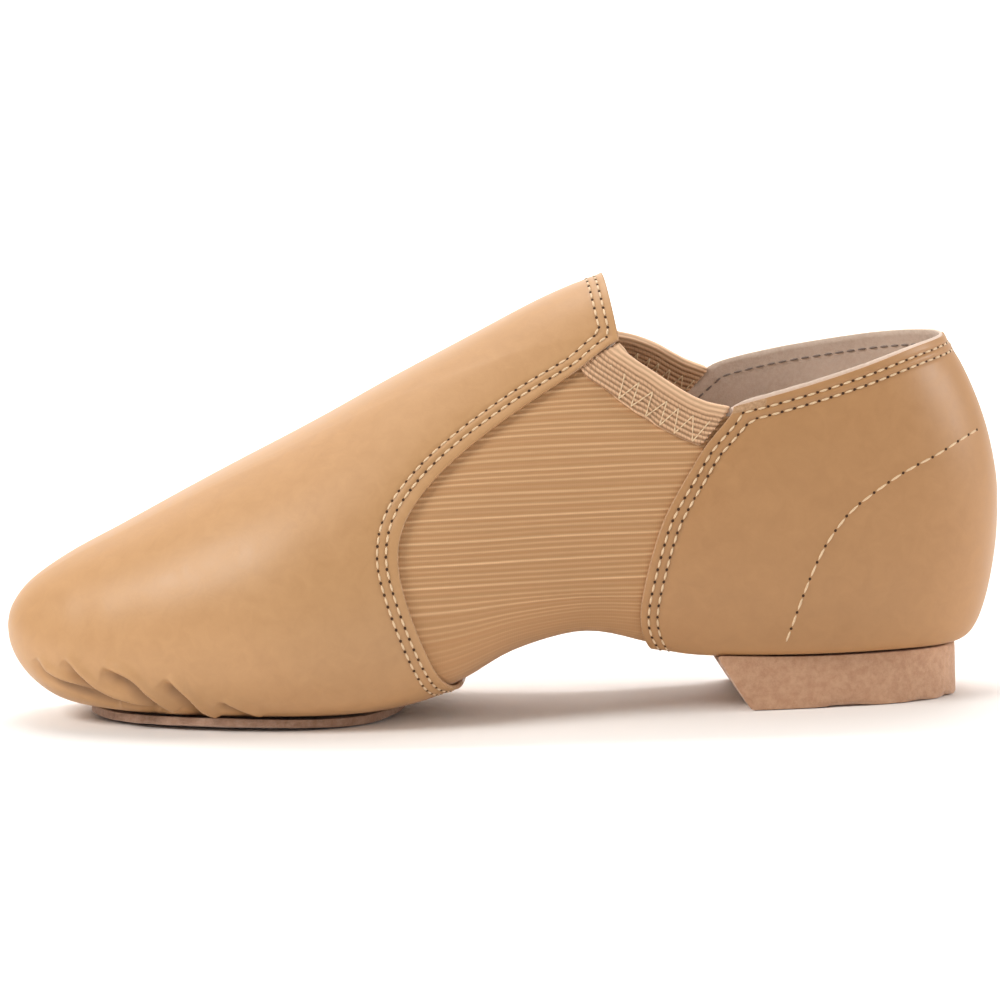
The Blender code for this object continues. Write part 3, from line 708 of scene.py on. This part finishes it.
troughs = toeLines(BVHTree.FromBMesh(vampShell))
vampPiece, vampRows = leatherPiece("vampLeather", vampShell, leather["vampPaintedShade"], vampEdge, troughs, "vamp")
quarterPiece, quarterRows = leatherPiece("quarterLeather", quarterShell, leather["quarterPaintedShade"], quarterEdge,
                                         None, "quarter")
vampTree, quarterTree = treeOf(vampPiece), treeOf(quarterPiece)


# the line where each binding is folded
cords = {"pitch": 1.12, "height": 0.24, "levels": 4, "crease": 0.35, "slopeAt": (31.0, 35.0),
         "tuckedTo": 34.0, "tuck": 1.3, "sink": 0.9, "tuckFade": 1.5}


def foldHeight(node, x):
    # height of the binding's fold at x
    return float(np.interp(x, foldLines[node][:, 0], foldLines[node][:, 2]))


def foldLine(node):
    shell = mergedCopy(node)
    low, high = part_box(node)
    line = []
    for x in np.linspace(low.x + 0.0004, high.x - 0.0004, 34):
        cut = shell.copy()
        made = bmesh.ops.bisect_plane(cut, geom=cut.verts[:] + cut.edges[:] + cut.faces[:],
                                      plane_co=(x, 0, 0), plane_no=(1, 0, 0))
        spots = [item.co.copy() for item in made["geom_cut"] if isinstance(item, bmesh.types.BMVert)]
        cut.free()
        top = max(spot.z for spot in spots)
        crest = [spot.y for spot in spots if spot.z > top - 0.0006]
        line.append((x, sum(crest) / len(crest), top))
    shell.free()
    line = np.array(line)
    # the cords keep the slope that they have behind the vamp's corner
    start, end = (x * mm for x in cords["slopeAt"])
    front = line[:, 0] < start
    levels = np.interp((start, end), line[:, 0], line[:, 2])
    slope = (levels[1] - levels[0]) / (end - start)
    line[front, 2] = levels[0] + (line[front, 0] - start) * slope
    return line


foldLines = {name: foldLine(name) for name in ("collar_band_outer", "collar_band_inner")}


# linings behind the leather
lining = {"thickness": 0.7, "levels": 2, "topRise": 0.7, "mostRise": 2.5, "behind": 2.4, "near": 6.0,
          "trim": 0.95, "trimUnder": 12.0, "topline": 66.0}


def coveredBy(tree, spot, normal, least=0.86, most=4.0):
    hit, _, _, gap = tree.find_nearest(spot)
    if hit is None or gap > most * mm:
        return False
    return abs((hit - spot).normalized().dot(normal)) > least


def raised(points, cover):
    # the lining stands a little higher than the leather along the topline
    top = quarterEdge[quarterEdge[:, 2] > lining["topline"] * mm]
    high = np.array([points[np.argmin(((points[:, :2] - spot[:2]) ** 2).sum(1) - points[:, 2] * 0.004), 2]
                     for spot in top])
    lift = top[:, 2] + lining["topRise"] * mm - high
    nearest = np.array([np.argmin(((top[:, :2] - p[:2]) ** 2).sum(1)) for p in points])
    depth = (high[nearest] - points[:, 2]) / (lining["near"] * mm)
    points = points.copy()
    lift = np.clip(lift[nearest], 0.0, lining["mostRise"] * mm)
    points[:, 2] += lift * np.exp(-np.clip(depth, 0.0, 9.0) ** 2)
    return points


def trimmed(item, cover):
    # under the side seams the vamp's lining ends where the leather does
    shell = bmesh.new()
    shell.from_mesh(item.data)
    top = foldHeight("collar_band_outer", 0.02) - lining["trimUnder"] * mm
    low = [face for face in shell.faces if face.calc_center_median().z < top]
    bare = [face for face in low
            if not coveredBy(cover, face.calc_center_median(), face.normal, lining["trim"])]
    bmesh.ops.delete(shell, geom=bare, context="FACES")
    shell.to_mesh(item.data)
    shell.free()


def liningPiece(name, cover, relief=None):
    shell = mergedCopy("upper")
    other = [face for face in shell.faces
             if facesOut(face) or not coveredBy(cover, face.calc_center_median(), face.normal)]
    bmesh.ops.delete(shell, geom=other, context="FACES")
    piece = smoothed(newPiece(name, shell, "lining", "creamEdge"), lining["levels"])
    if relief:
        trimmed(piece, cover)
    points, normals = pointsOf(piece), pointsOf(piece, "normal")
    if relief:
        rise, _ = toeRelief(points, -normals, relief, lining["behind"])
        setPoints(piece, points - normals * np.minimum(rise, 0.0)[:, None])
    else:
        setPoints(piece, raised(points, cover))
    # the sheet faces the foot, so its wall grows behind it, towards the leather
    return placed(thickened(piece, lining["thickness"] * mm, -1.0), "leather", "upper")


liningPiece("vampLining", vampTree, troughs)
heelLining = liningPiece("heelLining", quarterTree)
print("linings ready")


# the ribbed elastic at the arch, one panel from collar to collar under the foot
rib = {"front": -33.0, "back": 58.0, "columns": 30, "level": 45.0, "top": -48.0, "wall": 14.0, "floor": 45.0,
       "pitch": 1.35, "rows": 6, "height": 0.22, "thin": 2.6, "cover": 5.0, "underFold": 2.5,
       "thickness": 0.6, "wander": 0.35, "flatAfter": 12.0, "flatter": 0.75}
upperTree = treeOf(smoothed(newPiece("upperGuide", mergedCopy("upper"), "ribs"), 2))
bpy.data.objects.remove(bpy.data.objects["upperGuide"])


def sectionHalf(x, side):
    # outline of the sleeve at x, from its top to the middle of the floor, with its length from the level line
    middle = Vector((x, centreY, float(np.interp(x, (-0.04, 0.0, 0.05), (0.034, 0.050, 0.052)))))
    line = []
    for angle in np.radians(np.arange(176.0, -0.5, -1.0)):
        way = Vector((0.0, side * math.sin(angle), -math.cos(angle)))
        hit = upperTree.ray_cast(middle + way * 0.12, -way)[0]
        if hit is not None and (hit - middle).dot(way) > 0.008:
            line.append(hit)
    line = np.array(line)
    lengths = np.concatenate([[0.0], np.cumsum(np.linalg.norm(np.diff(line, axis=0), axis=1))])
    level = np.interp(-rib["level"] * mm, -line[:, 2], lengths)
    return line, lengths - level


def ribHeight(v):
    # thin ridges of uneven strength, in mm of girth
    number = np.floor(v / rib["pitch"] + 0.5)
    strength = 0.62 + 0.38 * np.sin(number * 2.399 + 1.3) * np.cos(number * 0.731)
    return (0.5 + 0.5 * np.cos(2 * np.pi * v / rib["pitch"])) ** rib["thin"] * strength


def ribbedPanel():
    columns = np.linspace(rib["front"], rib["back"], rib["columns"] + 1) * mm
    step = rib["pitch"] / rib["rows"]
    nominal = np.arange(rib["top"], rib["wall"] + rib["floor"] + step / 2, step)
    grid = {}
    for side in (outerSide, innerSide):
        halves = []
        for x in columns:
            line, lengths = sectionHalf(float(x), side)
            beyond = np.clip((nominal - rib["wall"]) / rib["floor"], 0.0, 1.0)
            wander = [rib["wander"] * noise.noise(Vector((x * 28, v * 0.10, side))) for v in nominal]
            girth = np.minimum(nominal, rib["wall"]) + beyond * (lengths[-1] / mm - rib["wall"])
            girth = girth + np.array(wander) * (1.0 - beyond)
            halves.append(np.array([np.interp(girth * mm, lengths, line[:, axis]) for axis in range(3)]).T)
        grid[side] = np.array(halves)
    rows = np.concatenate([nominal, nominal[-2::-1]])
    spots = np.concatenate([grid[outerSide], grid[innerSide][:, -2::-1]], axis=1)
    shell = bmesh.new()
    ridge = shell.verts.layers.float.new("ridge")
    uv = shell.loops.layers.uv.new("weave")
    wide, tall = len(columns) - 1, len(rows) - 1
    made = bmesh.ops.create_grid(shell, x_segments=wide, y_segments=tall, size=0.5)["verts"]
    places = [(int(round((vert.co.x + 0.5) * wide)), int(round((vert.co.y + 0.5) * tall))) for vert in made]
    for vert, (i, j) in zip(made, places):
        vert.co = spots[i, j]
    shell.normal_update()
    sample = min(shell.faces, key=lambda f: (f.calc_center_median() - Vector((0.0, -0.03, 0.04))).length)
    if sample.normal.y > 0.0:
        bmesh.ops.reverse_faces(shell, faces=shell.faces)
        shell.normal_update()
    for vert, (i, j) in zip(made, places):
        fade = 1.0 - rib["flatter"] * np.clip((rows[j] - rib["wall"]) / rib["flatAfter"], 0.0, 1.0)
        vert[ridge] = float(ribHeight(rows[j]) * fade)
        vert.co += vert.normal * (rib["height"] * mm * vert[ridge])
    lookup = {vert: (columns[i] / mm, rows[j]) for vert, (i, j) in zip(made, places)}
    for face in shell.faces:
        face.smooth = True
        for loop in face.loops:
            loop[uv].uv = lookup[loop.vert]
    unseen = []
    centres = np.array([face.calc_center_median() for face in shell.faces])
    reach = np.minimum(reachOf(centres, vampEdge, True)[0], reachOf(centres, quarterEdge, True)[0])
    for face, centre, gap in zip(shell.faces, centres, reach):
        node = "collar_band_outer" if centre[1] < centreY else "collar_band_inner"
        hidden = gap > rib["cover"] * mm and any(
            coveredBy(tree, Vector(centre), face.normal) for tree in (vampTree, quarterTree))
        above = centre[0] > 0.012 and centre[2] > foldHeight(node, centre[0]) - rib["underFold"] * mm
        if hidden or above or centre[2] > 0.1:
            unseen.append(face)
    bmesh.ops.delete(shell, geom=unseen, context="FACES")
    piece = newPiece("elasticArch", shell, "ribs")
    return placed(thickened(piece, rib["thickness"] * mm, -1.0), "ribbed_elastic", "upper")


ribbedPanel()


# the folded bindings, with their cords and zigzag
# low and high are the thread's turning points, in mm down from the fold
zigzag = {"pitch": 4.1, "low": (10.6, 10.2, 9.8, 9.4, 9.0, 8.6), "high": (4.4,), "ahead": 0.62,
          "thick": 0.19, "proud": 0.14, "endGap": 1.2, "hem": 0.4, "longest": 9.0}


def bindingPiece(name, node):
    shell = mergedCopy(node)
    creaseSharp(shell, cords["crease"], 60)
    piece = smoothed(newPiece(name, shell, "braid"), cords["levels"])
    points, normals = pointsOf(piece), pointsOf(piece, "normal")
    line = foldLines[node]
    slope = np.gradient(line[:, 2], line[:, 0])
    lean = np.cos(np.arctan(np.interp(points[:, 0], line[:, 0], slope)))
    depth = (np.interp(points[:, 0], line[:, 0], line[:, 2]) - points[:, 2]) * lean / mm
    ridge = (0.5 + 0.5 * np.cos(2 * np.pi * (depth - 0.35) / cords["pitch"])) ** 0.8
    points = points + normals * ((ridge - 0.6) * cords["height"] * mm)[:, None]
    # the front end slips under the vamp's edge
    for k in np.nonzero(points[:, 0] < cords["tuckedTo"] * mm)[0]:
        gap = np.linalg.norm(vampEdge - points[k], axis=1)
        near = gap.argmin()
        amount = math.exp(-(max(gap[near] - 0.9 * mm, 0.0) / (cords["tuckFade"] * mm)) ** 2)
        toEdge = (vampEdge[near] - points[k]) / max(gap[near], 1e-6)
        inward = np.array((0.0, centreY - points[k, 1], 0.0)) / max(abs(centreY - points[k, 1]), 1e-6)
        points[k] += (toEdge * cords["tuck"] + inward * cords["sink"]) * (amount * mm)
    setPoints(piece, points)
    setAttribute(piece, "ridge", ridge)
    setAttribute(piece, "depth", depth)
    along = np.concatenate([[0.0], np.cumsum(np.linalg.norm(np.diff(line, axis=0), axis=1))])
    way = np.interp(points[:, 0], line[:, 0], along) / mm
    uv = piece.data.uv_layers.new(name="weave")
    corners = np.empty(len(piece.data.loops), int)
    piece.data.loops.foreach_get("vertex_index", corners)
    uv.data.foreach_set("uv", np.stack([way[corners], depth[corners] + 0.21], axis=1).ravel())
    return placed(piece, "braided_elastic", node)


bandPieces = {
    outerSide: bindingPiece("bindingOuter", "collar_band_outer"),
    innerSide: bindingPiece("bindingInner", "collar_band_inner"),
}
print("bindings ready")


# the flat pieces: insole, sole patch and heel block
def plainPiece(name, node, material, slotName, levels, crease, degrees=50, rough=0.0):
    # rough is the height of the cut suede's waves, in mm
    shell = mergedCopy(node)
    creaseSharp(shell, crease, degrees)
    piece = smoothed(newPiece(name, shell, material), levels)
    if rough:
        points, normals = pointsOf(piece), pointsOf(piece, "normal")
        wave = np.array([noise.noise(Vector(p) * 180.0) + 0.5 * noise.noise(Vector(p) * 520.0)
                         for p in points])
        keep = np.where(points[:, 2] > 0.0003, 1.0, 0.0)
        setPoints(piece, points + normals * (wave * keep * rough * mm)[:, None])
    return placed(piece, slotName, node)


plainPiece("sock", "insole", "sock", "sock", 2, 0.7)
plainPiece("soleSuedePatch", "forefoot_sole", "soleSuede", "sole_suede", 3, 0.75, 50, 0.10)
plainPiece("heelBlock", "heel", "heelSuede", "heel_suede", 3, 0.96, 40)


# stitching
# long is a share of the pitch, and the rest is in mm
stitch = {"long": 0.72, "wide": 0.30, "proud": 0.24, "lift": 0.04, "hole": 0.40,
          "shortest": 0.8, "longest": 7.0, "vamp": 2.95, "quarter": 3.1, "counter": 4.3,
          "lining": 2.9, "liningDown": 3.6}


def stitchSpots(line, tree, pitch, closed):
    spots = []
    even = evenly(np.array(line), pitch * mm, closed)
    for spot in even:
        hit, normal, _, _ = tree.find_nearest(Vector(spot))
        spots.append((hit, normal))
    if closed:
        spots.append(spots[0])
    return spots


def sew(thread, holes, spots, share=stitch["long"]):
    for (a, na), (b, nb) in zip(spots, spots[1:]):
        along = b - a
        if not stitch["shortest"] * mm <= along.length <= stitch["longest"] * mm:
            continue
        up = (na + nb).normalized()
        ahead = along.normalized()
        across = up.cross(ahead).normalized()
        up = ahead.cross(across)
        middle = (a + b) / 2 + up * (stitch["lift"] * mm)
        size = Vector((along.length * share / 2, stitch["wide"] * mm, stitch["proud"] * mm))
        frameOf = Matrix((ahead, across, up)).transposed().to_4x4()
        bmesh.ops.create_uvsphere(thread, u_segments=7, v_segments=5, radius=1.0,
                                  matrix=Matrix.Translation(middle) @ frameOf @ Matrix.Diagonal((*size, 1.0)))
        # a flat dark disc at each hole: painted shade of the needle hole
        if holes is not None:
            flat = Matrix.Diagonal((stitch["hole"] * mm, stitch["hole"] * 0.9 * mm, 0.09 * mm, 1.0))
            bmesh.ops.create_uvsphere(holes, u_segments=8, v_segments=4, radius=1.0,
                                      matrix=Matrix.Translation(a + up * (0.02 * mm)) @ frameOf @ flat)


def threadPiece(name, shell, material, slotName):
    for face in shell.faces:
        face.smooth = True
    return placed(newPiece(name, shell, material), slotName)


def seamStitches(name, rows, tree, pitch, lines=()):
    thread, holes = bmesh.new(), bmesh.new()
    for row in rows:
        for line, closed in row:
            sew(thread, holes, stitchSpots(line, tree, pitch, closed))
    for line in lines:
        sew(thread, holes, stitchSpots(line, tree, stitch["counter"], False), 0.78)
    threadPiece(name + "Thread", thread, "thread", "leather")
    threadPiece(name + "Holes", holes, "hole", "leather")


# the counter line curves from the back of the heel to the front of the heel block, as x and height in mm
counter = ((119.8, 67.7), (115.3, 65.5), (110.7, 64.0), (103.7, 60.8), (96.2, 57.7), (88.6, 53.4),
           (81.5, 48.3), (75.8, 41.1), (71.9, 33.4), (68.6, 24.8), (65.8, 16.4))


def counterLines(tree):
    lines = []
    for side in (outerSide, innerSide):
        hits = [sideHit(tree, x * mm, z * mm, side)[0] for x, z in counter]
        lines.append(lineThrough([hit for hit in hits if hit is not None], 0.8 * mm))
    return lines


seamStitches("vampSeam", vampRows, vampTree, stitch["vamp"])
seamStitches("quarterSeam", quarterRows, quarterTree, stitch["quarter"], counterLines(quarterTree))


def zigzagSpots(node, tree, side, inside):
    line = foldLines[node]
    along = np.concatenate([[0.0], np.cumsum(np.linalg.norm(np.diff(line, axis=0), axis=1))])
    slopes = np.gradient(line[:, 2], line[:, 0])
    spots, low, way = [], True, zigzag["endGap"] * mm
    while way < along[-1] - zigzag["endGap"] * mm:
        x, top, slope = (float(np.interp(way, along, row)) for row in (line[:, 0], line[:, 2], slopes))
        down = Vector((slope, 0.0, -1.0)).normalized() * mm
        start = Vector((x, centreY if inside else centreY + side * 0.12, top))
        across = Vector((0, side if inside else -side, 0))
        hem = zigzag["hem"] if low else 0.0
        for reach in zigzag["low" if low else "high"]:      # as low as the binding goes
            if tree.ray_cast(start + down * reach, across)[0] is not None:
                hit, normal, _, _ = tree.ray_cast(start + down * (reach - hem), across)
                spots.append((hit, normal))
                break
        way += zigzag["pitch"] * mm * (zigzag["ahead"] if low else 1.0 - zigzag["ahead"])
        low = not low
    return spots


def zigzagThread():
    thread = bmesh.new()
    for side, node in ((outerSide, "collar_band_outer"), (innerSide, "collar_band_inner")):
        tree = treeOf(bandPieces[side])
        for inside in (False, True):
            spots = zigzagSpots(node, tree, side, inside)
            for (a, na), (b, nb) in zip(spots, spots[1:]):
                if (b - a).length > zigzag["longest"] * mm:
                    continue
                for k in range(3):
                    p, q = a.lerp(b, k / 3), a.lerp(b, (k + 1) / 3)
                    ahead = (q - p).normalized()
                    across = (na + nb).normalized().cross(ahead).normalized()
                    up = ahead.cross(across)
                    size = ((q - p).length * 0.6, zigzag["thick"] * mm, zigzag["thick"] * mm)
                    turn = Matrix((ahead, across, up)).transposed().to_4x4()
                    spot = Matrix.Translation((p + q) / 2 + up * (zigzag["proud"] * mm))
                    bmesh.ops.create_uvsphere(thread, u_segments=6, v_segments=5, radius=1.0,
                                              matrix=spot @ turn @ Matrix.Diagonal((*size, 1.0)))
    threadPiece("zigzagThread", thread, "thread", "braided_elastic")


def liningStitches():
    points, normals = pointsOf(heelLining), pointsOf(heelLining, "normal")
    reach, _ = reachOf(points, quarterEdge, closed=True)
    inside = (outerShare(points, normals) < 0.5) & (points[:, 2] > 0.040)
    thread = bmesh.new()
    for line, closed in contours(heelLining, reach / mm, stitch["liningDown"], inside):
        sew(thread, None, stitchSpots(line, treeOf(heelLining), stitch["lining"], closed), 0.8)
    threadPiece("liningThread", thread, "greyThread", "leather")


zigzagThread()
liningStitches()
print("stitching ready")


# a pale floor that bends up into a wall behind
def makeFloor():
    sweep = studio["sweep"]
    profile = [(sweep["front"], -0.0002), (sweep["wallAt"] - sweep["bend"], -0.0002)]
    for k in range(1, sweep["steps"] + 1):
        angle = math.pi / 2 * k / sweep["steps"]
        profile.append((sweep["wallAt"] - sweep["bend"] * (1 - math.sin(angle)),
                        sweep["bend"] * (1 - math.cos(angle))))
    profile.append((sweep["wallAt"], sweep["wallTop"]))
    shell = bmesh.new()
    made = bmesh.ops.create_grid(shell, x_segments=1, y_segments=len(profile) - 1, size=0.5)["verts"]
    for vert in made:
        y, z = profile[int(round((vert.co.y + 0.5) * (len(profile) - 1)))]
        vert.co = (vert.co.x * 2 * sweep["halfWidth"], y, z)
    for face in shell.faces:
        face.smooth = True
    newPiece("floor", shell, "floor")


makeFloor()
